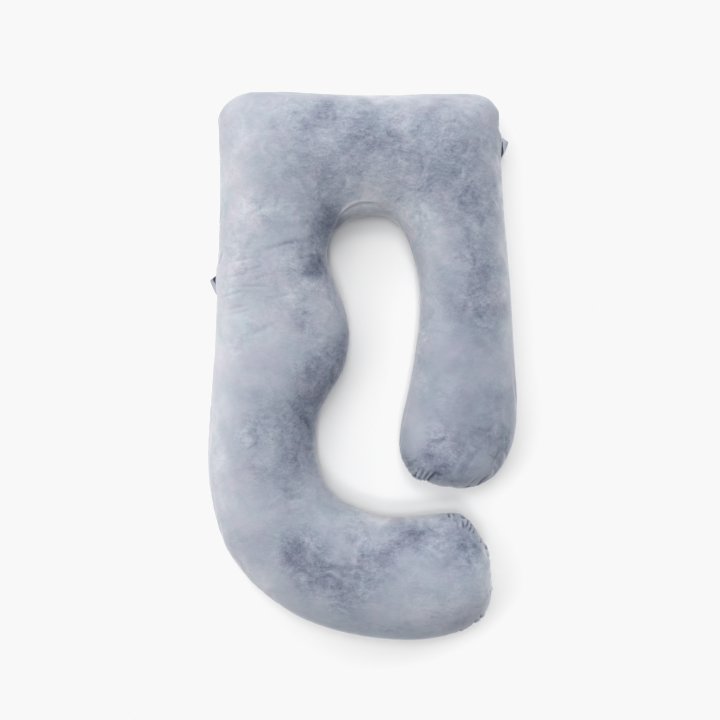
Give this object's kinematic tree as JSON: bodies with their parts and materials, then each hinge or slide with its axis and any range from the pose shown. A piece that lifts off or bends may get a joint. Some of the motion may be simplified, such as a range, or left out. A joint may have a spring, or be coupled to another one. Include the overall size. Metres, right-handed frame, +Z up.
{
  "type": "body pillow",
  "caption": "Long filled body pillow bent like the letter G, with a hooked long arm, a straight short arm and a strip loop on each side seam.",
  "frame": {"origin": "bottom centre of the pillow's box, on the surface that it lies on", "axes": "+Z up out of the surface, +Y towards the head end over the arch, +X towards the short straight arm"},
  "size_m": [0.8183, 1.4503, 0.2008],
  "materials": {
    "velvet_cover": "short crushed pile, grey blue, lighter where the pile is brushed up",
    "velvet_strip": "the same cloth cut as a folded strip, a shade darker"
  },
  "bodies": {
    "root": {"pillow": "velvet_cover", "tab_left": "velvet_strip", "tab_right": "velvet_strip"}
  },
  "joints": []
}
